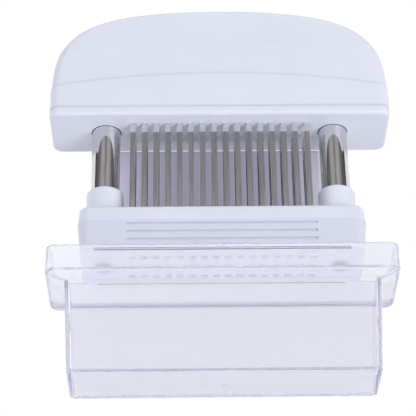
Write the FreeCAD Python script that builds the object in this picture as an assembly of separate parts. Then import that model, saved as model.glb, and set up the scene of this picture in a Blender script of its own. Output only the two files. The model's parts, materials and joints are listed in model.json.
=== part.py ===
import FreeCAD, Part
import math
import os

# Blade meat tenderizer standing in its clear storage cover. Millimetres.
# +Z is up, the front faces -Y, and the origin is the middle of the cover's bottom.

Vector = FreeCAD.Vector
Z_AXIS = Vector(0, 0, 1)

# ---------------------------------------------------------------- driving dimensions
# Storage cover: a rim with a ledge, and a narrower box below it.
cover_ledge_end = 7.85
cover_ledge_side = 4.65
cover_draft_end = 2.3
cover_draft_side = 0.2
cover_box_corner = 2.8
cover_box_height = 42.4
cover_ledge_rise = 2.0
cover_end_room = 12.15
cover_rim_depth = 36.0
cover_rim_corner = 4.0
cover_rim_height = 12.4
cover_wall = 1.8
cover_bottom_round = 1.0
cover_floor_round = 0.8
cover_rim_round = 1.2
cover_lip_round = 0.5
seat_depth = 1.2
seat_bead_width = 1.0
seat_bead_height = 1.4
seat_bead_nose = 0.45
seat_bead_length = 108.0
seat_clearance = 0.3

# Base block: sides that widen up to a waist, then a shoulder that narrows to the top.
base_end_margin = 9.5
base_side_flare = 1.1
base_waist_height = 13.7
base_shoulder_height = 9.2
base_shoulder_inset = 4.1
base_end_inset = 0.4
base_corner_bottom = 4.0
base_corner_top = 4.0
base_wall = 2.4
base_waist_round = 0.9
base_top_round = 2.4
groove_count = 3
groove_end_margin = 19.9
groove_height = 1.1
groove_depth = 0.8
groove_end_round = 0.3
groove_pitch = 3.66
groove_lowest_height = 4.45
collar_radius_bottom = 8.4
collar_radius_top = 8.1
collar_height = 13.8
collar_edge_round = 1.6
socket_radius = 9.0
comb_plate_thickness = 2.2
comb_tongue_height = 3.0
comb_tongue_wall = 1.2
seam_chamfer = 0.25

# Guide tubes and what is in them.
tube_end_inset = 24.9
tube_radius = 6.35
tube_wall = 1.0
tube_seat_height = 5.2
tube_plug_height = 10.0
spring_wire = 1.1
spring_turns = 12
rod_radius = 3.0
rod_foot_height = 2.4
rod_foot_drop = 4.4
rod_socket_depth = 9.0
rod_boss_wall = 2.5
stop_cap_radius = 8.5
stop_cap_thickness = 2.5
stop_cap_round = 0.6
stop_cap_spigot = 8.0
screw_radius = 2.0
screw_head_radius = 3.8
screw_head_height = 1.8
screw_length = 13.0
screw_slot_width = 0.9
screw_slot_depth = 0.8
screw_slot_reach = 2.3

# Blades: flat strips with a T head and a pointed tip.
blade_columns = 16
blade_rows = 3
blade_end_margin = 0.375
blade_row_pitch = 7.2
blade_width = 2.4
blade_thickness = 1.2
blade_head_width = 4.0
blade_head_height = 3.0
blade_tip_length = 3.2
blade_tip_thickness = 0.3
blade_tip_recess = 1.5
slot_width = 3.0
slot_length = 17.0
tip_slot_gap = 0.3

# Handle: a D-shaped grip over a bottom plate.
stroke = 32.0
stroke_end_gap = 0.4
handle_width = 151.4
handle_depth = 31.0
handle_height = 61.9
handle_side_height = 14.0
dome_side_pull = 0.75
dome_top_pull = 0.78
handle_edge_round = 4.6
handle_wall = 2.4
cap_step = 0.35
lip_height = 4.2
lip_round = 1.5
plate_floor = 2.6
plate_tongue_height = 4.0
plate_tongue_wall = 1.4
arch_seam_height = 22.4
arch_seam_radius = 420.0
arch_seam_gap = 0.15
cap_tongue_height = 2.5
crease_height = 37.3
crease_radius = 440.0
crease_lean_deg = 8.0
bush_radius = 8.0
bush_top_height = 7.4
bush_seat_height = 1.5
bush_boss_wall = 1.4
carrier_end_gap = 0.4
carrier_side_gap = 1.1
carrier_height = 8.0
clamp_plate_thickness = 2.0
clamp_screw_x = 30.0
clamp_screw_radius = 1.5
clamp_screw_head_radius = 2.6
clamp_screw_head_height = 1.6
clamp_screw_tip_cover = 1.0

# Clearances.
running_fit = 0.05
press_fit_gap = 0.02
hole_ring_gap = 0.35
rod_clearance = 0.35
tube_bore_clearance = 0.3
stop_gap = 0.1
blade_hold_gap = 0.1
inner_fit_gap = 0.1

# How far a cutting shape passes the face that it opens.
overrun = 1.0

# ---------------------------------------------------------------- sizes worked out from them
tube_spacing = handle_width - 2 * tube_end_inset
base_length_bottom = tube_spacing + 2 * base_end_margin
groove_length = base_length_bottom - 2 * groove_end_margin
cover_rim_length = base_length_bottom + 2 * (cover_wall + cover_end_room)
cover_box_length_top = cover_rim_length - 2 * cover_ledge_end
cover_box_depth_top = cover_rim_depth - 2 * cover_ledge_side
cover_box_length_bottom = cover_box_length_top - 2 * cover_draft_end
cover_box_depth_bottom = cover_box_depth_top - 2 * cover_draft_side
carrier_length = tube_spacing - 2 * (bush_radius + bush_boss_wall + carrier_end_gap)
carrier_depth = handle_depth - 2 * (handle_wall + inner_fit_gap + plate_tongue_wall + carrier_side_gap)
blade_pitch = (carrier_length - blade_head_width - 2 * blade_end_margin) / (blade_columns - 1)

# ---------------------------------------------------------------- places worked out from them
ledge_outer_z = cover_box_height + cover_ledge_rise
rim_top_z = ledge_outer_z + cover_rim_height
base_bottom_z = rim_top_z - seat_depth
base_depth_bottom = cover_rim_depth - 2 * (cover_wall + seat_clearance)
comb_top_z = base_bottom_z + comb_plate_thickness
waist_z = base_bottom_z + base_waist_height
base_top_z = waist_z + base_shoulder_height
collar_top_z = base_top_z + collar_height
underside_z = collar_top_z + stroke + stroke_end_gap
tube_foot_z = base_bottom_z + tube_seat_height
plug_top_z = tube_foot_z + tube_plug_height
bush_top_z = underside_z + bush_top_height
tube_top_z = bush_top_z + stop_gap
rod_foot_z = underside_z - rod_foot_drop - rod_foot_height
rod_boss_z = tube_top_z + stop_cap_thickness + stroke + 2 * stroke_end_gap
rod_top_z = rod_boss_z + rod_socket_depth
lip_top_z = underside_z + lip_height
plate_floor_z = underside_z + plate_floor
carrier_top_z = plate_floor_z + carrier_height
blade_head_z = carrier_top_z + blade_head_height
clamp_top_z = blade_head_z + clamp_plate_thickness
handle_top_z = underside_z + handle_height
tube_x = tube_spacing / 2
tube_bore = tube_radius - tube_wall
SIDES = (("left", -1), ("right", 1))


# ---------------------------------------------------------------- shared shapes
def rounded_outline(length, depth, corner, z):
    """Closed wire of a rectangle with round corners, centred on the Z axis."""
    x = length / 2
    y = depth / 2
    c = corner
    s = c * (1 - math.sqrt(0.5))
    corners = (
        (Vector(x - c, -y, z), Vector(x - s, -y + s, z), Vector(x, -y + c, z)),
        (Vector(x, y - c, z), Vector(x - s, y - s, z), Vector(x - c, y, z)),
        (Vector(-x + c, y, z), Vector(-x + s, y - s, z), Vector(-x, y - c, z)),
        (Vector(-x, -y + c, z), Vector(-x + s, -y + s, z), Vector(-x + c, -y, z)),
    )
    edges = []
    for i, (start, middle, end) in enumerate(corners):
        edges.append(Part.Arc(start, middle, end).toShape())
        following = corners[(i + 1) % len(corners)][0]
        edges.append(Part.LineSegment(end, following).toShape())
    return Part.Wire(edges)


def stacked(sections):
    """Solid with straight sides through (z, length, depth, corner) outlines."""
    wires = [rounded_outline(length, depth, corner, z) for z, length, depth, corner in sections]
    return Part.makeLoft(wires, True, True)


def rounded_block(length, depth, corner, low_z, high_z):
    face = Part.Face(rounded_outline(length, depth, corner, low_z))
    return face.extrude(Vector(0, 0, high_z - low_z))


def box(x_size, y_size, low_z, high_z, x=0.0, y=0.0):
    corner = Vector(x - x_size / 2, y - y_size / 2, low_z)
    return Part.makeBox(x_size, y_size, high_z - low_z, corner)


def cylinder(radius, low_z, high_z, x=0.0, y=0.0):
    return Part.makeCylinder(radius, high_z - low_z, Vector(x, y, low_z), Z_AXIS)


def cone(radius_low, radius_high, low_z, high_z, x=0.0, y=0.0):
    return Part.makeCone(radius_low, radius_high, high_z - low_z, Vector(x, y, low_z), Z_AXIS)


def slab(low_z, high_z):
    """Everything between two levels."""
    return box(2 * handle_width, 2 * handle_width, low_z, high_z)


def level_edges(shape, z, tolerance=1e-4):
    """Edges that lie in the level plane at z."""
    found = []
    for edge in shape.Edges:
        bounds = edge.BoundBox
        if abs(bounds.ZMin - z) < tolerance and abs(bounds.ZMax - z) < tolerance:
            found.append(edge)
    return found


def blade_places():
    """X of each blade column and Y of each row."""
    columns = [(i - (blade_columns - 1) / 2) * blade_pitch for i in range(blade_columns)]
    rows = [(j - (blade_rows - 1) / 2) * blade_row_pitch for j in range(blade_rows)]
    return columns, rows


def export(name, shape):
    shape.exportStep(os.path.join("parts", name + ".step"))


# ---------------------------------------------------------------- storage cover
def cover_sections(inset, floor_z, open_top_z):
    """Outlines of the cover from its floor to its lip, moved inward by inset."""
    return [
        (floor_z, cover_box_length_bottom - 2 * inset, cover_box_depth_bottom - 2 * inset,
         cover_box_corner - inset),
        (cover_box_height + inset, cover_box_length_top - 2 * inset, cover_box_depth_top - 2 * inset,
         cover_box_corner - inset),
        (ledge_outer_z + inset, cover_rim_length - 2 * inset, cover_rim_depth - 2 * inset,
         cover_rim_corner - inset),
        (open_top_z, cover_rim_length - 2 * inset, cover_rim_depth - 2 * inset,
         cover_rim_corner - inset),
    ]


def storage_cover():
    outer = stacked(cover_sections(0, 0, rim_top_z))
    outer = outer.makeFillet(cover_bottom_round, level_edges(outer, 0))
    outer = outer.makeFillet(cover_rim_round, level_edges(outer, ledge_outer_z))
    inner = stacked(cover_sections(cover_wall, cover_wall, rim_top_z + cover_wall))
    inner = inner.makeFillet(cover_floor_round, level_edges(inner, cover_wall))
    cover = outer.cut(inner)
    cover = cover.makeFillet(cover_lip_round, level_edges(cover, rim_top_z))
    return cover.fuse(seat_beads()).removeSplitter()


def seat_beads():
    """Ledges along the long walls of the rim, on which the base rests."""
    wall_y = cover_rim_depth / 2 - cover_wall
    profile = [
        Vector(0, wall_y - seat_bead_width, base_bottom_z),
        Vector(0, wall_y + cover_wall / 2, base_bottom_z),
        Vector(0, wall_y + cover_wall / 2, base_bottom_z - seat_bead_height),
        Vector(0, wall_y, base_bottom_z - seat_bead_height),
        Vector(0, wall_y - seat_bead_width, base_bottom_z - seat_bead_nose),
    ]
    face = Part.Face(Part.makePolygon(profile + profile[:1]))
    back = face.extrude(Vector(seat_bead_length, 0, 0))
    back.translate(Vector(-seat_bead_length / 2, 0, 0))
    front = back.mirror(Vector(0, 0, 0), Vector(0, 1, 0))
    return [back, front]


# ---------------------------------------------------------------- base
def base_sections(inset):
    """Outlines of the base block from its bottom to its top, moved inward by inset."""
    waist_length = base_length_bottom + 2 * base_side_flare
    waist_depth = base_depth_bottom + 2 * base_side_flare
    waist_corner = base_corner_bottom + base_side_flare
    return [
        (base_bottom_z, base_length_bottom - 2 * inset, base_depth_bottom - 2 * inset,
         base_corner_bottom - inset),
        (waist_z, waist_length - 2 * inset, waist_depth - 2 * inset, waist_corner - inset),
        (base_top_z - inset, waist_length - 2 * (base_end_inset + inset),
         waist_depth - 2 * (base_shoulder_inset + inset), base_corner_top - inset),
    ]


def base_block():
    block = stacked(base_sections(0))
    block = block.makeFillet(base_waist_round, level_edges(block, waist_z))
    return block.makeFillet(base_top_round, level_edges(block, base_top_z))


def blade_slots(low_z, high_z):
    """One slot per blade column in the top of the base, across all the rows."""
    columns, _ = blade_places()
    return [box(slot_width, slot_length, low_z, high_z, x) for x in columns]


def base_grooves():
    """Short level grooves across the front and the back."""
    grooves = []
    for i in range(groove_count):
        height = groove_lowest_height + i * groove_pitch
        flare = base_side_flare * height / base_waist_height
        face_y = base_depth_bottom / 2 + flare
        z = base_bottom_z + height
        for side in (-1, 1):
            y = side * (face_y + groove_height / 2 - groove_depth)
            groove = box(groove_length, groove_height, z - groove_height / 2, z + groove_height / 2, 0, y)
            ends = [e for e in groove.Edges if e.BoundBox.XLength < 1e-6 and e.BoundBox.YLength < 1e-6]
            grooves.append(groove.makeFillet(groove_end_round, ends))
    return grooves


def base_housing(block):
    housing = block.common(slab(comb_top_z, base_top_z + overrun))
    housing = housing.makeChamfer(seam_chamfer, level_edges(housing, comb_top_z))
    collars = []
    for _, side in SIDES:
        collar = cone(collar_radius_bottom, collar_radius_top, base_top_z - base_wall, collar_top_z,
                      side * tube_x)
        collars.append(collar.makeFillet(collar_edge_round, level_edges(collar, collar_top_z)))
    housing = housing.fuse(collars)
    hollow = stacked(base_sections(base_wall))
    sockets = [cylinder(socket_radius, base_bottom_z, base_top_z, side * tube_x) for _, side in SIDES]
    housing = housing.cut(hollow.cut(sockets))
    bore_radius = tube_radius + press_fit_gap
    for _, side in SIDES:
        x = side * tube_x
        housing = housing.cut(cylinder(bore_radius, tube_foot_z, collar_top_z + overrun, x))
        housing = housing.cut(cylinder(screw_radius + press_fit_gap, base_bottom_z, tube_foot_z + overrun, x))
    housing = housing.cut(blade_slots(base_top_z - base_wall - overrun, base_top_z + overrun))
    return housing.cut(base_grooves()).removeSplitter()


def comb_plate(block):
    plate = block.common(slab(base_bottom_z - overrun, comb_top_z))
    plate = plate.makeChamfer(seam_chamfer, level_edges(plate, comb_top_z))
    tongue_length = base_length_bottom - 2 * (base_wall + inner_fit_gap)
    tongue_depth = base_depth_bottom - 2 * (base_wall + inner_fit_gap)
    tongue_corner = base_corner_bottom - base_wall
    tongue_top_z = comb_top_z + comb_tongue_height
    tongue = rounded_block(tongue_length, tongue_depth, tongue_corner, base_bottom_z + seam_chamfer,
                           tongue_top_z)
    core = box(tongue_length - 2 * comb_tongue_wall, tongue_depth - 2 * comb_tongue_wall,
               comb_top_z, tongue_top_z + overrun)
    plate = plate.fuse(tongue.cut(core))
    for _, side in SIDES:
        x = side * tube_x
        plate = plate.cut(cylinder(socket_radius + inner_fit_gap, comb_top_z, tongue_top_z + overrun, x))
        plate = plate.cut(cylinder(screw_radius + press_fit_gap, base_bottom_z, comb_top_z + overrun, x))
        plate = plate.cut(screw_head(x, press_fit_gap))
    openings = blade_openings(base_bottom_z - overrun, comb_top_z + overrun, tip_slot_gap)
    return plate.cut(openings).removeSplitter()


# ---------------------------------------------------------------- tubes and their fittings
def screw_head(x, gap=0.0):
    """Countersunk head flush with the bottom of the base."""
    return cone(screw_head_radius + gap, screw_radius + gap, base_bottom_z,
                base_bottom_z + screw_head_height, x)


def tube_screws():
    screws = []
    for _, side in SIDES:
        x = side * tube_x
        screw = screw_head(x).fuse(cylinder(screw_radius, base_bottom_z, base_bottom_z + screw_length, x))
        slot_top_z = base_bottom_z + screw_slot_depth
        across = box(2 * screw_slot_reach, screw_slot_width, base_bottom_z - overrun, slot_top_z, x)
        along = box(screw_slot_width, 2 * screw_slot_reach, base_bottom_z - overrun, slot_top_z, x)
        screws.append(screw.cut([across, along]))
    return Part.makeCompound(screws)


def guide_tube(side):
    x = side * tube_x
    tube = cylinder(tube_radius, tube_foot_z, tube_top_z, x)
    return tube.cut(cylinder(tube_bore, tube_foot_z - overrun, tube_top_z + overrun, x))


def tube_plug(side):
    x = side * tube_x
    plug = cylinder(tube_bore - press_fit_gap, tube_foot_z, plug_top_z, x)
    return plug.cut(cylinder(screw_radius + press_fit_gap, tube_foot_z - overrun, plug_top_z + overrun, x))


def stop_cap(side):
    x = side * tube_x
    cap = cylinder(stop_cap_radius, tube_top_z, tube_top_z + stop_cap_thickness, x)
    cap = cap.makeFillet(stop_cap_round, level_edges(cap, tube_top_z + stop_cap_thickness))
    cap = cap.fuse(cylinder(tube_bore - press_fit_gap, tube_top_z - stop_cap_spigot, tube_top_z, x))
    bore = cylinder(rod_radius + rod_clearance, tube_top_z - stop_cap_spigot - overrun,
                    tube_top_z + stop_cap_thickness + overrun, x)
    return cap.cut(bore)


def spring(side):
    """Round wire wound between the tube's plug and the foot of the push rod."""
    low_z = plug_top_z + spring_wire / 2
    height = rod_foot_z - spring_wire / 2 - low_z
    coil_radius = tube_bore - tube_bore_clearance - spring_wire / 2
    helix = Part.makeHelix(height / spring_turns, height, coil_radius)
    section = Part.Wire(Part.makeCircle(spring_wire / 2, Vector(coil_radius, 0, 0), Vector(0, 1, 0)))
    coil = Part.Wire(helix).makePipeShell([section], True, True)
    coil.translate(Vector(side * tube_x, 0, low_z))
    return coil


def push_rod(side):
    x = side * tube_x
    foot_radius = tube_bore - tube_bore_clearance
    rod = cylinder(rod_radius, rod_foot_z, rod_top_z, x)
    return rod.fuse(cylinder(foot_radius, rod_foot_z, rod_foot_z + rod_foot_height, x)).removeSplitter()


# ---------------------------------------------------------------- blades
def single_blade():
    """One blade on the Z axis: T head at the top, double-bevelled point at the bottom."""
    half = blade_width / 2
    head = blade_head_width / 2
    tip_z = base_bottom_z + blade_tip_recess
    outline = [
        Vector(-half, 0, tip_z + blade_tip_length),
        Vector(0, 0, tip_z),
        Vector(half, 0, tip_z + blade_tip_length),
        Vector(half, 0, carrier_top_z),
        Vector(head, 0, carrier_top_z),
        Vector(head, 0, blade_head_z),
        Vector(-head, 0, blade_head_z),
        Vector(-head, 0, carrier_top_z),
        Vector(-half, 0, carrier_top_z),
    ]
    face = Part.Face(Part.makePolygon(outline + outline[:1]))
    blade = face.extrude(Vector(0, blade_thickness, 0))
    blade.translate(Vector(0, -blade_thickness / 2, 0))
    edge = blade_tip_thickness / 2
    side_view = [
        Vector(-head, -edge, tip_z),
        Vector(-head, edge, tip_z),
        Vector(-head, blade_thickness / 2, tip_z + blade_tip_length),
        Vector(-head, blade_thickness / 2, blade_head_z),
        Vector(-head, -blade_thickness / 2, blade_head_z),
        Vector(-head, -blade_thickness / 2, tip_z + blade_tip_length),
    ]
    wedge = Part.Face(Part.makePolygon(side_view + side_view[:1])).extrude(Vector(blade_head_width, 0, 0))
    return blade.common(wedge)


def blade_row(y):
    columns, _ = blade_places()
    pattern = single_blade()
    blades = []
    for x in columns:
        blade = pattern.copy()
        blade.translate(Vector(x, y, 0))
        blades.append(blade)
    return Part.makeCompound(blades)


def blade_openings(low_z, high_z, gap):
    """A slot round each blade, wider than it by the gap on every side."""
    columns, rows = blade_places()
    x_size = blade_width + 2 * gap
    y_size = blade_thickness + 2 * gap
    return [box(x_size, y_size, low_z, high_z, x, y) for x in columns for y in rows]


# ---------------------------------------------------------------- handle
def dome_curve(side, inset):
    """Half of the grip's domed outline, from its straight side to the middle of its top."""
    half = side * (handle_width / 2 - inset)
    side_z = underside_z + handle_side_height
    top_z = handle_top_z - inset
    side_pull_z = side_z + dome_side_pull * (top_z - side_z)
    curve = Part.BezierCurve()
    curve.setPoles([
        Vector(half, 0, side_z),
        Vector(half, 0, side_pull_z),
        Vector(half * dome_top_pull, 0, top_z),
        Vector(0, 0, top_z),
    ])
    return curve.toShape()


def grip_outline(inset, low_z):
    """Front outline of the grip, in the plane Y = 0, moved inward by inset."""
    half = handle_width / 2 - inset
    side_z = underside_z + handle_side_height
    right = Part.LineSegment(Vector(half, 0, low_z), Vector(half, 0, side_z)).toShape()
    left = Part.LineSegment(Vector(-half, 0, side_z), Vector(-half, 0, low_z)).toShape()
    bottom = Part.LineSegment(Vector(-half, 0, low_z), Vector(half, 0, low_z)).toShape()
    return Part.Wire([right, dome_curve(1, inset), dome_curve(-1, inset), left, bottom])


def arch_cutter(height, radius, reach):
    """Cylinder across the grip whose top is the arch at the given height over the underside."""
    centre = Vector(0, -reach, underside_z + height - radius)
    return Part.makeCylinder(radius, 2 * reach, centre, Vector(0, 1, 0))


def leaning_wedge(side, half_depth):
    """What the grip loses in front of the face that leans back above the arched crease."""
    half = handle_width
    top = Vector(0, -half_depth, underside_z + crease_height)
    fall = crease_radius - math.sqrt(crease_radius ** 2 - half ** 2)
    left = top + Vector(-half, 0, -fall)
    right = top + Vector(half, 0, -fall)
    crease = Part.Arc(left, top, right).toShape()
    lean = math.radians(crease_lean_deg)
    face = crease.extrude(Vector(0, math.sin(lean), math.cos(lean)) * handle_height)
    wedge = face.extrude(Vector(0, -handle_depth, 0))
    if side > 0:
        wedge = wedge.mirror(Vector(0, 0, 0), Vector(0, 1, 0))
    return wedge


def grip_solid(inset, low_z, leaning):
    """The whole grip, moved inward by inset, with its front and back edges rounded."""
    depth = handle_depth - 2 * inset
    grip = Part.Face(grip_outline(inset, low_z)).extrude(Vector(0, depth, 0))
    grip.translate(Vector(0, -depth / 2, 0))
    if leaning:
        grip = grip.cut([leaning_wedge(side, depth / 2) for _, side in SIDES])
    rounded = []
    for edge in grip.Edges:
        bounds = edge.BoundBox
        on_one_face = bounds.YMin * bounds.YMax > 0
        level = bounds.ZLength < 1e-6
        if on_one_face and not level:
            rounded.append(edge)
    return grip.makeFillet(handle_edge_round - inset, rounded)


def cap_tongue():
    """Thin wall below the cap that fits inside the skirt, along the arched seam."""
    outer_inset = handle_wall + inner_fit_gap
    wall = grip_solid(outer_inset, underside_z, False)
    wall = wall.cut(grip_solid(outer_inset + plate_tongue_wall, underside_z - overrun, False))
    high = arch_cutter(arch_seam_height + cap_tongue_height, arch_seam_radius, handle_depth)
    low = arch_cutter(arch_seam_height - cap_tongue_height, arch_seam_radius, handle_depth)
    return wall.common(high).cut(low)


def handle_cap():
    outer = grip_solid(cap_step, underside_z, True)
    hollow = grip_solid(cap_step + handle_wall, underside_z - overrun, True)
    cap = outer.cut(hollow)
    arch = arch_cutter(arch_seam_height + arch_seam_gap, arch_seam_radius, handle_depth)
    cap = cap.cut(arch).fuse(cap_tongue())
    bosses = []
    for _, side in SIDES:
        boss = cylinder(rod_radius + rod_boss_wall, rod_boss_z, handle_top_z, side * tube_x)
        bosses.append(boss.common(outer))
    cap = cap.fuse(bosses)
    for _, side in SIDES:
        cap = cap.cut(cylinder(rod_radius + press_fit_gap, rod_boss_z - overrun, rod_top_z, side * tube_x))
    return cap.removeSplitter()


def handle_skirt():
    outer = grip_solid(0, underside_z, False)
    hollow = grip_solid(handle_wall, underside_z - overrun, False)
    arch = arch_cutter(arch_seam_height, arch_seam_radius, handle_depth)
    band = outer.cut(hollow).common(arch)
    band = band.cut(slab(underside_z - overrun, lip_top_z)).removeSplitter()
    return band.makeChamfer(seam_chamfer, level_edges(band, lip_top_z))


def handle_bottom_plate():
    plate = rounded_block(handle_width, handle_depth, handle_edge_round, underside_z, lip_top_z)
    plate = plate.makeFillet(lip_round, level_edges(plate, underside_z))
    plate = plate.makeChamfer(seam_chamfer, level_edges(plate, lip_top_z))
    tongue_inset = handle_wall + inner_fit_gap
    core_inset = tongue_inset + plate_tongue_wall
    tongue = rounded_block(handle_width - 2 * tongue_inset, handle_depth - 2 * tongue_inset,
                           handle_edge_round - tongue_inset, plate_floor_z, lip_top_z + plate_tongue_height)
    plate = plate.fuse(tongue)
    plate = plate.cut(rounded_block(handle_width - 2 * core_inset, handle_depth - 2 * core_inset,
                                    handle_edge_round - core_inset, plate_floor_z,
                                    lip_top_z + plate_tongue_height + overrun))
    bush_seat_z = underside_z + bush_seat_height
    boss_top_z = bush_top_z - bush_boss_wall
    for _, side in SIDES:
        x = side * tube_x
        plate = plate.fuse(cylinder(bush_radius + bush_boss_wall, plate_floor_z, boss_top_z, x))
        plate = plate.cut(cylinder(bush_radius + press_fit_gap, bush_seat_z, boss_top_z + overrun, x))
        plate = plate.cut(cylinder(tube_radius + hole_ring_gap, underside_z - overrun,
                                   bush_seat_z + overrun, x))
    for x, y in clamp_screw_places():
        plate = plate.cut(cylinder(clamp_screw_radius + press_fit_gap,
                                   underside_z + clamp_screw_tip_cover, lip_top_z, x, y))
    openings = blade_openings(underside_z - overrun, plate_floor_z + overrun, blade_hold_gap)
    return plate.cut(openings).removeSplitter()


def guide_bush(side):
    x = side * tube_x
    low_z = underside_z + bush_seat_height
    bush = cylinder(bush_radius, low_z, bush_top_z, x)
    return bush.cut(cylinder(tube_radius + running_fit, low_z - overrun, bush_top_z + overrun, x))


def clamp_screw_places():
    y = blade_row_pitch / 2
    return [(sx * clamp_screw_x, sy * y) for sx in (-1, 1) for sy in (-1, 1)]


def clamp_screw_holes(low_z, high_z):
    """Holes through a plate between two levels."""
    hole = clamp_screw_radius + press_fit_gap
    return [cylinder(hole, low_z - overrun, high_z + overrun, x, y) for x, y in clamp_screw_places()]


def blade_carrier():
    carrier = box(carrier_length, carrier_depth, plate_floor_z, carrier_top_z)
    carrier = carrier.cut(blade_openings(plate_floor_z - overrun, carrier_top_z + overrun, blade_hold_gap))
    return carrier.cut(clamp_screw_holes(plate_floor_z, carrier_top_z))


def blade_clamp_plate():
    plate = box(carrier_length, carrier_depth, blade_head_z, clamp_top_z)
    return plate.cut(clamp_screw_holes(blade_head_z, clamp_top_z))


def clamp_screws():
    tip_z = underside_z + clamp_screw_tip_cover
    screws = []
    for x, y in clamp_screw_places():
        head = cylinder(clamp_screw_head_radius, clamp_top_z, clamp_top_z + clamp_screw_head_height, x, y)
        head_top_z = clamp_top_z + clamp_screw_head_height
        slot = box(3 * clamp_screw_head_radius, screw_slot_width, head_top_z - screw_slot_depth,
                   head_top_z + overrun, x, y)
        screws.append(head.cut(slot).fuse(cylinder(clamp_screw_radius, tip_z, clamp_top_z, x, y)))
    return Part.makeCompound(screws)


# ---------------------------------------------------------------- build
def build():
    block = base_block()
    export("storage_cover", storage_cover())
    export("base_housing", base_housing(block))
    export("comb_plate", comb_plate(block))
    export("tube_screws", tube_screws())
    for name, side in SIDES:
        export("guide_tube_" + name, guide_tube(side))
        export("tube_plug_" + name, tube_plug(side))
        export("stop_cap_" + name, stop_cap(side))
        export("spring_" + name, spring(side))
        export("push_rod_" + name, push_rod(side))
        export("guide_bush_" + name, guide_bush(side))
    _, rows = blade_places()
    for name, y in zip(("front", "middle", "back"), rows):
        export("blade_row_" + name, blade_row(y))
    export("blade_carrier", blade_carrier())
    export("blade_clamp_plate", blade_clamp_plate())
    export("clamp_screws", clamp_screws())
    export("handle_bottom_plate", handle_bottom_plate())
    export("handle_skirt", handle_skirt())
    export("handle_cap", handle_cap())


os.makedirs("parts", exist_ok=True)
build()
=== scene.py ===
import json
import math

import bpy
from mathutils import Matrix, Vector


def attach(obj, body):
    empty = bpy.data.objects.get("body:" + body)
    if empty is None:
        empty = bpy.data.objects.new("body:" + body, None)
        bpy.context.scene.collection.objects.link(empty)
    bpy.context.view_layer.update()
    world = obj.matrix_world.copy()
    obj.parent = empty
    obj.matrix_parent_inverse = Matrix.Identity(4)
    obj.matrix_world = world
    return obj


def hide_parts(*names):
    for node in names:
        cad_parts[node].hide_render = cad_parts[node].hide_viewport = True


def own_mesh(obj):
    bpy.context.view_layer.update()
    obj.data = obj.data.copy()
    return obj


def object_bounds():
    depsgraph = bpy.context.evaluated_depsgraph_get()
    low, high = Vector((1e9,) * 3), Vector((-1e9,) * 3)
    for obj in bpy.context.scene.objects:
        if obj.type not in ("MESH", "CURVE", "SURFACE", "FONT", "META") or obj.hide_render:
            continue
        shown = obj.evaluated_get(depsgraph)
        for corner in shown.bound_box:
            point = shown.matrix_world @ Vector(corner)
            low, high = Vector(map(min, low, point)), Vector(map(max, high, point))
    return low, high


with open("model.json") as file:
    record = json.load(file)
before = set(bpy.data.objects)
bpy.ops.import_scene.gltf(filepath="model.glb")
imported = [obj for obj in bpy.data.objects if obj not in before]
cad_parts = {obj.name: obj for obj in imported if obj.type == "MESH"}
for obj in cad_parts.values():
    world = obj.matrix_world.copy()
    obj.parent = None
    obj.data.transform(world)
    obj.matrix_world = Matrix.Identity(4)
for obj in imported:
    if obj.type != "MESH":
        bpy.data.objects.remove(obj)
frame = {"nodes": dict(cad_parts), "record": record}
cad_low, cad_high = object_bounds()

# Blade meat tenderizer standing in its clear storage cover. Metres, +Z up, front towards -Y.

# ---------------------------------------------------------------- camera
PICTURE_SIZE = 416
OPTICAL_CENTRE = (220.97, 202.55)
FOCAL_LENGTH_PIXELS = 1637.5
SENSOR_WIDTH_MM = 36.0
VIEW_TARGET = Vector((0.0, 0.0, 0.0878))
VIEW_DISTANCE = 0.7179
VIEW_RISE = math.radians(31.79)
VIEW_YAW = math.radians(1.324)
VIEW_ROLL = math.radians(1.096)


def make_camera():
    """The camera looks up at the front from below, so that the handle's underside shows."""
    ahead = Vector((math.sin(VIEW_YAW) * math.cos(VIEW_RISE),
                    math.cos(VIEW_YAW) * math.cos(VIEW_RISE),
                    math.sin(VIEW_RISE)))
    level_right = Vector((math.cos(VIEW_YAW), -math.sin(VIEW_YAW), 0.0))
    level_up = level_right.cross(ahead)
    right = math.cos(VIEW_ROLL) * level_right - math.sin(VIEW_ROLL) * level_up
    up = math.sin(VIEW_ROLL) * level_right + math.cos(VIEW_ROLL) * level_up
    data = bpy.data.cameras.new("camera")
    data.sensor_width = SENSOR_WIDTH_MM
    data.lens = FOCAL_LENGTH_PIXELS / PICTURE_SIZE * SENSOR_WIDTH_MM
    data.shift_x = (PICTURE_SIZE / 2 - OPTICAL_CENTRE[0]) / PICTURE_SIZE
    data.shift_y = (OPTICAL_CENTRE[1] - PICTURE_SIZE / 2) / PICTURE_SIZE
    camera = bpy.data.objects.new("camera", data)
    turn = Matrix((right, up, -ahead)).transposed().to_4x4()
    camera.matrix_world = Matrix.Translation(VIEW_TARGET - VIEW_DISTANCE * ahead) @ turn
    bpy.context.scene.collection.objects.link(camera)
    bpy.context.scene.camera = camera


# ---------------------------------------------------------------- node helpers
def add(tree, kind, **inputs):
    """A new node, with its inputs set by name; an underscore stands for a space."""
    node = tree.nodes.new(kind)
    for name, value in inputs.items():
        node.inputs[name.replace("_", " ")].default_value = value
    return node


def feed(tree, value, socket):
    """Links an output to the socket, or sets a plain value on it."""
    if isinstance(value, bpy.types.NodeSocket):
        tree.links.new(value, socket)
    else:
        socket.default_value = value


def maths(tree, operation, *values):
    """A maths node on outputs or plain numbers; returns its output."""
    node = tree.nodes.new("ShaderNodeMath")
    node.operation = operation
    for value, socket in zip(values, node.inputs):
        feed(tree, value, socket)
    return node.outputs[0]


def remap(tree, value, low, high, new_low, new_high):
    """value moved from one range to another and clamped to it; returns the result."""
    node = add(tree, "ShaderNodeMapRange", From_Min=low, From_Max=high, To_Min=new_low, To_Max=new_high)
    tree.links.new(value, node.inputs["Value"])
    return node.outputs["Result"]


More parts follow.
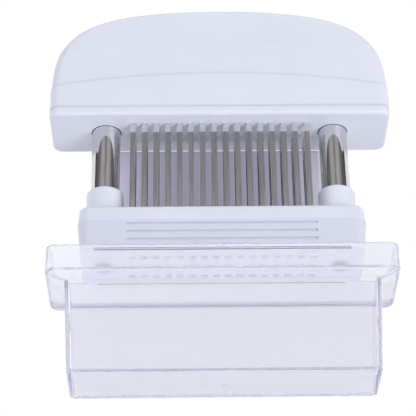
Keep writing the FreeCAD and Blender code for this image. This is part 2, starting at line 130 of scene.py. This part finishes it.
def ramp(tree, factor, stops):
    """A colour ramp through (place, colour) stops; returns its colour output."""
    node = tree.nodes.new("ShaderNodeValToRGB")
    elements = node.color_ramp.elements
    while len(elements) < len(stops):
        elements.new(0.5)
    for element, (place, colour) in zip(elements, stops):
        element.position = place
        element.color = (*colour, 1.0)
    tree.links.new(factor, node.inputs["Fac"])
    return node.outputs["Color"]


def mix_colours(tree, factor, first, second):
    """first where factor is 0 and second where it is 1, each an output or a plain colour."""
    node = tree.nodes.new("ShaderNodeMix")
    node.data_type = "RGBA"
    tree.links.new(factor, node.inputs["Factor"])
    feed(tree, first, node.inputs["A"])
    feed(tree, second, node.inputs["B"])
    return node.outputs["Result"]


def mix_shaders(tree, factor, first, second):
    """The shader first where factor is 0 and second where it is 1; returns the output."""
    node = tree.nodes.new("ShaderNodeMixShader")
    for output, socket in zip((factor, first, second), node.inputs):
        tree.links.new(output, socket)
    return node.outputs[0]


def own_place(tree):
    """The place in the piece's own coordinates, which are the frame's."""
    return tree.nodes.new("ShaderNodeTexCoord").outputs["Object"]


def split(tree, vector):
    """The X, Y and Z outputs of a vector."""
    parts = tree.nodes.new("ShaderNodeSeparateXYZ")
    tree.links.new(vector, parts.inputs[0])
    return parts.outputs


def distance_from_origin(tree):
    """How far the place is from the middle of the cover's bottom."""
    away = tree.nodes.new("ShaderNodeVectorMath")
    away.operation = "LENGTH"
    tree.links.new(own_place(tree), away.inputs[0])
    return away.outputs["Value"]


def noise(tree, scale, detail, stretch=(1.0, 1.0, 1.0)):
    """Noise in the piece's own coordinates; scale counts features per metre."""
    mapping = add(tree, "ShaderNodeMapping", Scale=stretch)
    texture = add(tree, "ShaderNodeTexNoise", Scale=scale, Detail=detail)
    tree.links.new(own_place(tree), mapping.inputs["Vector"])
    tree.links.new(mapping.outputs["Vector"], texture.inputs["Vector"])
    return texture.outputs["Fac"]


def near_arch(tree, low_z, radius, reach):
    """1 on an arch across the handle, falling to 0 at reach from it; radius None is a straight line."""
    place = split(tree, own_place(tree))
    away = maths(tree, "SUBTRACT", place["Z"], low_z)
    if radius is not None:
        across = maths(tree, "MULTIPLY", place["X"], place["X"])
        rise = maths(tree, "SQRT", maths(tree, "SUBTRACT", radius ** 2, across))
        away = maths(tree, "SUBTRACT", away, maths(tree, "SUBTRACT", rise, radius))
    return remap(tree, maths(tree, "ABSOLUTE", away), 0.0, reach, 1.0, 0.0)


def path_flags(tree, *names):
    """The highest of the named light path outputs, such as 1 on a ray of one of these kinds."""
    path = tree.nodes.new("ShaderNodeLightPath")
    total = path.outputs[names[0]]
    for name in names[1:]:
        total = maths(tree, "MAXIMUM", total, path.outputs[name])
    return total


def past_cover(tree):
    """1 where the ray has come through the clear cover and isn't diffuse, else 0."""
    through = maths(tree, "GREATER_THAN", path_flags(tree, "Transmission Depth"), 0.5)
    not_diffuse = maths(tree, "SUBTRACT", 1.0, path_flags(tree, "Is Diffuse Ray"))
    return maths(tree, "MULTIPLY", through, not_diffuse)


def new_material(name):
    """A material with one Principled shader; returns the material, its tree and the shader."""
    material = bpy.data.materials.new(name)
    material.use_nodes = True
    tree = material.node_tree
    return material, tree, tree.nodes["Principled BSDF"]


def bare_material(name):
    """A material with no shader yet; returns the material and its tree."""
    material, tree, shader = new_material(name)
    tree.nodes.remove(shader)
    return material, tree


def set_bump(tree, shader, height, strength, distance):
    """Bumps the shader's surface by the height output."""
    bump = add(tree, "ShaderNodeBump", Strength=strength, Distance=distance)
    tree.links.new(height, bump.inputs["Height"])
    tree.links.new(bump.outputs["Normal"], shader.inputs["Normal"])


# ---------------------------------------------------------------- materials
SHELL_TONES = ((0.77, 0.785, 0.855), (0.795, 0.81, 0.875))
# darker tones of the handle's ABS, painted shade on the block below its waist
BLOCK_PAINTED_SHADE_TONES = ((0.665, 0.675, 0.765), (0.69, 0.70, 0.785))
# a paler copy of the white ABS, painted light for the comb plate
COMB_PAINTED_LIGHT_TONES = ((0.90, 0.905, 0.935), (0.92, 0.925, 0.945))
NYLON_TONES = ((0.76, 0.76, 0.74), (0.82, 0.82, 0.80))
SHELL_ROUGHNESS = (0.30, 0.44)
BLOCK_ROUGHNESS = (0.34, 0.48)
NYLON_ROUGHNESS = (0.45, 0.60)
SHELL_TEXTURE = 0.05
BLOCK_TEXTURE = 0.08
NYLON_TEXTURE = 0.06
PATCH_SCALE = 26.0
RUB_SCALE = 90.0
MOULD_TEXTURE_SCALE = 2600.0
MOULD_TEXTURE_DEPTH = 0.0001
GRAIN_DEPTH = 0.00005
BLOCK_WAIST_Z = 0.0693
WAIST_BLEND = 0.0004
# the arched seam, the straight seam and the crease, with painted shade along both seams and a painted
# highlight along the crease: height in the middle, arch radius, reach, change of tone
SEAM_SHADE_AND_CREASE_HIGHLIGHT = ((0.1471, 0.420, 0.0010, -0.13), (0.1289, None, 0.0010, -0.20), (0.1620, 0.440, 0.0007, 0.035))


def between(tree, fraction, tones):
    """A tone that drifts between the two given ones with a noise output."""
    return ramp(tree, fraction, ((0.35, tones[0]), (0.65, tones[1])))


def set_moulded(tree, shader, tone, roughness, texture):
    """Moulded ABS of this tone, with rubbed patches and a fine mould texture."""
    tree.links.new(tone, shader.inputs["Base Color"])
    rubbed = remap(tree, noise(tree, RUB_SCALE, 5.0), 0.35, 0.65, *roughness)
    tree.links.new(rubbed, shader.inputs["Roughness"])
    set_bump(tree, shader, noise(tree, MOULD_TEXTURE_SCALE, 2.0), texture, MOULD_TEXTURE_DEPTH)


def handle_shell():
    """Glossy white ABS with a faint cool tint, with painted shade along the seams and a painted highlight
    along the crease.
    """
    material, tree, shader = new_material("handle_shell")
    tone = between(tree, noise(tree, PATCH_SCALE, 3.0), SHELL_TONES)
    # painted shade darkens the tone along both seams; a painted highlight lightens it along the crease
    for line_z, radius, reach, change in SEAM_SHADE_AND_CREASE_HIGHLIGHT:
        level = maths(tree, "MULTIPLY_ADD", near_arch(tree, line_z, radius, reach), change, 1.0)
        scaled = tree.nodes.new("ShaderNodeVectorMath")
        scaled.operation = "SCALE"
        tree.links.new(tone, scaled.inputs[0])
        tree.links.new(level, scaled.inputs["Scale"])
        tone = scaled.outputs[0]
    set_moulded(tree, shader, tone, SHELL_ROUGHNESS, SHELL_TEXTURE)
    return material


def comb_shell():
    """The same ABS in a paler white for the plate below the block; the paler tone is painted light that
    brightens its shaded faces.
    """
    material, tree, shader = new_material("comb_shell")
    tone = between(tree, noise(tree, PATCH_SCALE, 3.0), COMB_PAINTED_LIGHT_TONES)
    set_moulded(tree, shader, tone, SHELL_ROUGHNESS, SHELL_TEXTURE)
    return material


def block_shell():
    """The handle's ABS, a little rougher and more textured, with a darker tone below the waist as painted
    shade.
    """
    material, tree, shader = new_material("block_shell")
    patches = noise(tree, PATCH_SCALE, 3.0)
    height = split(tree, own_place(tree))["Z"]
    above = remap(tree, height, BLOCK_WAIST_Z - WAIST_BLEND, BLOCK_WAIST_Z + WAIST_BLEND, 0.0, 1.0)
    # below the waist the tone is painted shade, above it the handle's own tone
    tone = mix_colours(tree, above, between(tree, patches, BLOCK_PAINTED_SHADE_TONES), between(tree, patches, SHELL_TONES))
    set_moulded(tree, shader, tone, BLOCK_ROUGHNESS, BLOCK_TEXTURE)
    return material


COVER_IOR = 1.50
COVER_TINT = (0.834, 0.834, 0.855)
SCUFFS = (0.03, 0.07)
# the rim is satin: from the low to the high height, the transmission and the added roughness change
SATIN_LOW_Z = 0.0430
SATIN_HIGH_Z = 0.0465
CLEARNESS = (0.95, 0.84)
SATIN = (0.0, 0.15)
# with more glossy bounces than this, a sight ray counts as trapped between the cover's faces
TRAPPED_BOUNCES = 1.5
# a deeper tint along the root of the ledge's back half and in the gate mark under the bottom
ROOT_TINT = (0.55, 0.55, 0.60)
ROOT_LOW_Z = (0.0420, 0.0426)
ROOT_HIGH_Z = (0.0446, 0.0454)
ROOT_BACK_Y = 0.009
GATE_MARK_RADIUS = (0.0008, 0.0013)
DEPTH_TINT = (0.60, 0.60, 0.80, 1.0)
DEPTH_TINT_DENSITY = 14.0
SHADOW_TINT = (0.90, 0.90, 0.95, 1.0)


def cover_tint(tree, place):
    """The cover's colour, deeper at the ledge's root and in the gate mark."""
    above_low = remap(tree, place["Z"], *ROOT_LOW_Z, 0.0, 1.0)
    below_high = remap(tree, place["Z"], *ROOT_HIGH_Z, 1.0, 0.0)
    behind = maths(tree, "GREATER_THAN", place["Y"], ROOT_BACK_Y)
    root = maths(tree, "MULTIPLY", maths(tree, "MULTIPLY", above_low, below_high), behind)
    gate = remap(tree, distance_from_origin(tree), *GATE_MARK_RADIUS, 1.0, 0.0)
    return ramp(tree, maths(tree, "MAXIMUM", root, gate), ((0.0, COVER_TINT), (1.0, ROOT_TINT)))


def clear_cover():
    """Clear polystyrene with a faint lavender tint and a satin rim. The lamps shine through it.

    Sight rays trapped between its faces end on a pale diffuse face instead of going black.
    """
    material, tree, shader = new_material("clear_cover")
    output = tree.nodes["Material Output"]
    shader.inputs["IOR"].default_value = COVER_IOR
    place = split(tree, own_place(tree))
    tree.links.new(cover_tint(tree, place), shader.inputs["Base Color"])
    clearness = remap(tree, place["Z"], SATIN_LOW_Z, SATIN_HIGH_Z, *CLEARNESS)
    free = maths(tree, "LESS_THAN", path_flags(tree, "Glossy Depth"), TRAPPED_BOUNCES)
    tree.links.new(maths(tree, "MULTIPLY", clearness, free), shader.inputs["Transmission Weight"])
    scuffs = remap(tree, noise(tree, 60.0, 6.0), 0.35, 0.65, *SCUFFS)
    satin = remap(tree, place["Z"], SATIN_LOW_Z, SATIN_HIGH_Z, *SATIN)
    tree.links.new(maths(tree, "ADD", scuffs, satin), shader.inputs["Roughness"])
    depth_tint = add(tree, "ShaderNodeVolumeAbsorption", Color=DEPTH_TINT, Density=DEPTH_TINT_DENSITY)
    tree.links.new(depth_tint.outputs[0], output.inputs["Volume"])
    open_path = add(tree, "ShaderNodeBsdfTransparent", Color=SHADOW_TINT)
    surface = mix_shaders(tree, path_flags(tree, "Is Shadow Ray"), shader.outputs["BSDF"],
                          open_path.outputs["BSDF"])
    tree.links.new(surface, output.inputs["Surface"])
    return material


def metal(name, colours, roughness, grain_scale, grain_stretch, bump):
    """Bare metal with a drawn or ground grain."""
    material, tree, shader = new_material(name)
    shader.inputs["Metallic"].default_value = 1.0
    grain = noise(tree, grain_scale, 4.0, grain_stretch)
    tree.links.new(ramp(tree, grain, ((0.3, colours[0]), (0.7, colours[1]))), shader.inputs["Base Color"])
    tree.links.new(remap(tree, grain, 0.3, 0.7, *roughness), shader.inputs["Roughness"])
    set_bump(tree, shader, grain, bump, GRAIN_DEPTH)
    return material


# name: colours, roughness, grain scale, grain stretch, bump
METALS = {
    "polished_tube": (((0.66, 0.65, 0.65), (0.74, 0.73, 0.73)), (0.06, 0.12), 300.0, (4.0, 4.0, 0.3), 0.05),
    "blade_steel": (((0.70, 0.695, 0.71), (0.78, 0.77, 0.785)), (0.07, 0.14), 600.0, (4.0, 4.0, 0.1), 0.05),
    "spring_steel": (((0.52, 0.52, 0.54), (0.62, 0.62, 0.64)), (0.20, 0.32), 900.0, (1.0, 1.0, 1.0), 0.05),
    "zinc_screw": (((0.60, 0.61, 0.63), (0.70, 0.70, 0.72)), (0.25, 0.38), 1200.0, (1.0, 1.0, 1.0), 0.10),
}


def nylon():
    """Natural nylon, a little uneven and matt."""
    material, tree, shader = new_material("nylon")
    tree.links.new(between(tree, noise(tree, 120.0, 3.0), NYLON_TONES), shader.inputs["Base Color"])
    matt = remap(tree, noise(tree, 300.0, 3.0), 0.3, 0.7, *NYLON_ROUGHNESS)
    tree.links.new(matt, shader.inputs["Roughness"])
    set_bump(tree, shader, noise(tree, 1800.0, 2.0), NYLON_TEXTURE, MOULD_TEXTURE_DEPTH)
    return material


def dress_nodes():
    """Every carried-over CAD node gets the material of its slot; the base housing gets painted shade below
    its waist and the comb plate a paler tone as painted light.
    """
    by_slot = {"white_shell": handle_shell(), "clear_cover": clear_cover(), "nylon": nylon()}
    by_slot.update({name: metal(name, *look) for name, look in METALS.items()})
    by_node = {"base_housing": block_shell(), "comb_plate": comb_shell()}
    for part in frame["record"]["subparts"]:
        mesh = frame["nodes"][part["node"]].data
        mesh.materials.clear()
        mesh.materials.append(by_node.get(part["node"], by_slot[part["material_slot"]]))


# ---------------------------------------------------------------- springs
def make_springs():
    """Each return spring as a coil object of its own, copied from its CAD node and attached to the base."""
    for side in ("left", "right"):
        node = "spring_" + side
        coil = bpy.data.objects.new("coil_" + side, frame["nodes"][node].data.copy())
        bpy.context.scene.collection.objects.link(coil)
        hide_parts(node)
        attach(coil, "base")
        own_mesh(coil)


# ---------------------------------------------------------------- stage
STAGE_HALF = 1.5
WHITE = (1.0, 1.0, 1.0, 1.0)
BEYOND_COVER = (0.90, 0.90, 0.98, 1.0)
FLOOR_COLOUR = (0.90, 0.90, 0.92, 1.0)
# the floor's glow: distance from the object, level there
FLOOR_NEAR = (0.25, 0.25)
FLOOR_FAR = (1.00, 0.52)
WALL_GAP = 0.0003
# the backdrop's shade behind the blades: how far it looks for them, where it ends, tones from shut in to open
WALL_SHADE_DISTANCE = 0.05
WALL_SHADE_SAMPLES = 16
WALL_SHADE_EDGE_X = (0.0450, 0.0490)
WALL_SHADE_Z = (0.0790, 0.1270)
WALL_SHADE_TONES = ((0.0, (0.22, 0.22, 0.27)), (0.22, (0.43, 0.42, 0.58)), (0.45, (1.0, 1.0, 1.0)))


def stage_plane(name, corners, material):
    """A flat piece of the stage, which isn't part of the object."""
    mesh = bpy.data.meshes.new(name)
    mesh.from_pydata(corners, [], [tuple(range(len(corners)))])
    mesh.materials.append(material)
    plane = bpy.data.objects.new(name, mesh)
    bpy.context.scene.collection.objects.link(plane)


def set_one_sided(tree, surface):
    """Shows surface to sight rays that meet the front, and nothing to all other rays."""
    sight = path_flags(tree, "Is Camera Ray", "Is Glossy Ray", "Is Transmission Ray")
    geometry = tree.nodes.new("ShaderNodeNewGeometry")
    front = maths(tree, "SUBTRACT", 1.0, geometry.outputs["Backfacing"])
    clear = tree.nodes.new("ShaderNodeBsdfTransparent")
    shown = mix_shaders(tree, maths(tree, "MULTIPLY", sight, front), clear.outputs[0], surface)
    tree.links.new(shown, tree.nodes["Material Output"].inputs["Surface"])


def make_floor():
    """Pale floor that keeps the object's shadow and glows more with distance; plain pale past the cover."""
    material, tree = bare_material("floor")
    pale = add(tree, "ShaderNodeBsdfDiffuse", Color=FLOOR_COLOUR)
    glow = tree.nodes.new("ShaderNodeEmission")
    level = remap(tree, distance_from_origin(tree), FLOOR_NEAR[0], FLOOR_FAR[0], FLOOR_NEAR[1], FLOOR_FAR[1])
    tree.links.new(level, glow.inputs["Strength"])
    both = tree.nodes.new("ShaderNodeAddShader")
    tree.links.new(pale.outputs[0], both.inputs[0])
    tree.links.new(glow.outputs[0], both.inputs[1])
    beyond = add(tree, "ShaderNodeEmission", Color=BEYOND_COVER, Strength=1.0)
    set_one_sided(tree, mix_shaders(tree, past_cover(tree), both.outputs[0], beyond.outputs[0]))
    s = STAGE_HALF
    stage_plane("floor", [(-s, -s, 0), (s, -s, 0), (s, s, 0), (-s, s, 0)], material)


def make_wall():
    """White backdrop just behind the object, shaded where the tubes and the blades close it in."""
    material, tree = bare_material("backdrop")
    closeness = add(tree, "ShaderNodeAmbientOcclusion", Distance=WALL_SHADE_DISTANCE)
    closeness.samples = WALL_SHADE_SAMPLES
    shade = ramp(tree, closeness.outputs["AO"], WALL_SHADE_TONES)
    place = split(tree, own_place(tree))
    behind = remap(tree, maths(tree, "ABSOLUTE", place["X"]), *WALL_SHADE_EDGE_X, 1.0, 0.0)
    for test, limit in zip(("GREATER_THAN", "LESS_THAN"), WALL_SHADE_Z):
        behind = maths(tree, "MULTIPLY", behind, maths(tree, test, place["Z"], limit))
    glow = add(tree, "ShaderNodeEmission", Strength=1.0)
    tree.links.new(mix_colours(tree, behind, WHITE, shade), glow.inputs["Color"])
    set_one_sided(tree, glow.outputs[0])
    s = STAGE_HALF
    y = cad_high.y + WALL_GAP
    stage_plane("backdrop", [(-s, y, -s), (s, y, -s), (s, y, s), (-s, y, s)], material)


# ---------------------------------------------------------------- light
LAMP_DISTANCE = 1.2
LAMP_TARGET = Vector((0.0, 0.0, 0.10))
LOW_LAMP_COLOUR = (0.85, 0.90, 1.20)
# name, azimuth (0 is the front, 90 the right), elevation, size in metres, level on a facing surface
LAMPS = (
    ("key", 42.0, -25.0, 0.60, 0.50),
    ("front_fill", -25.0, -8.0, 0.90, 0.10),
    ("back", 205.0, 20.0, 0.80, 0.45),
    ("top", 10.0, 75.0, 0.80, 0.20),
    ("low", 0.0, -60.0, 0.80, 0.12),
    ("left", -95.0, 10.0, 0.80, 0.25),
)
WORLD_COLOUR = (0.93, 0.95, 1.05, 1.0)
WORLD_LEVEL = 0.515
# the room in the metal's reflections: share of the turn from the front (0) to the back (1), colour
ROOM_TONES = (
    (0.00, (0.25, 0.24, 0.25)),
    (0.025, (0.25, 0.24, 0.25)),
    (0.045, (0.43, 0.41, 0.42)),
    (0.16, (0.45, 0.43, 0.44)),
    (0.26, (0.18, 0.17, 0.17)),
    (0.36, (0.10, 0.095, 0.095)),
    (0.50, (0.04, 0.04, 0.04)),
    (0.62, (0.05, 0.05, 0.05)),
    (0.72, (0.20, 0.20, 0.22)),
    (0.85, (0.80, 0.80, 0.86)),
)
# heights between which a pale band of that room fades in, and fades out again
PALE_BAND = ((0.26, 0.30), (0.49, 0.515))


def make_lamps():
    """Soft square lamps round the object, each aimed at its middle."""
    for name, azimuth, elevation, size, level in LAMPS:
        a = math.radians(azimuth)
        e = math.radians(elevation)
        towards = Vector((math.sin(a) * math.cos(e), -math.cos(a) * math.cos(e), math.sin(e)))
        data = bpy.data.lights.new(name, "AREA")
        data.size = size
        data.energy = level * math.pi ** 2 * LAMP_DISTANCE ** 2
        if name == "low":
            data.color = LOW_LAMP_COLOUR
        lamp = bpy.data.objects.new(name, data)
        lamp.rotation_euler = towards.to_track_quat("Z", "Y").to_euler()
        lamp.location = LAMP_TARGET + towards * LAMP_DISTANCE
        bpy.context.scene.collection.objects.link(lamp)


def plain_background(tree, colour):
    """A background of one colour or colour output; returns its output."""
    node = tree.nodes.new("ShaderNodeBackground")
    feed(tree, colour, node.inputs["Color"])
    return node.outputs[0]


def make_world():
    """Even pale light; plain white where seen; a room with dark sides in the metal's reflections."""
    world = bpy.data.worlds.new("world")
    world.use_nodes = True
    tree = world.node_tree
    ambient = tree.nodes["Background"]
    ambient.inputs["Color"].default_value = WORLD_COLOUR
    ambient.inputs["Strength"].default_value = WORLD_LEVEL
    towards = split(tree, tree.nodes.new("ShaderNodeTexCoord").outputs["Generated"])
    angle = maths(tree, "ARCTAN2", maths(tree, "ABSOLUTE", towards["X"]),
                  maths(tree, "MULTIPLY", towards["Y"], -1.0))
    room = ramp(tree, maths(tree, "DIVIDE", angle, math.pi), ROOM_TONES)
    low_edge = remap(tree, towards["Z"], *PALE_BAND[0], 0.0, 1.0)
    high_edge = remap(tree, towards["Z"], *PALE_BAND[1], 1.0, 0.0)
    reflected = mix_colours(tree, maths(tree, "MULTIPLY", low_edge, high_edge), room, BEYOND_COVER)
    lit = mix_shaders(tree, path_flags(tree, "Is Glossy Ray"), ambient.outputs[0],
                      plain_background(tree, reflected))
    through = mix_shaders(tree, past_cover(tree), lit, plain_background(tree, BEYOND_COVER))
    shown = mix_shaders(tree, path_flags(tree, "Is Camera Ray"), through, plain_background(tree, WHITE))
    tree.links.new(shown, tree.nodes["World Output"].inputs["Surface"])
    bpy.context.scene.world = world


# ---------------------------------------------------------------- build
bpy.context.scene.view_settings.view_transform = "Standard"
make_camera()
make_world()
make_lamps()
make_floor()
make_wall()
dress_nodes()
make_springs()
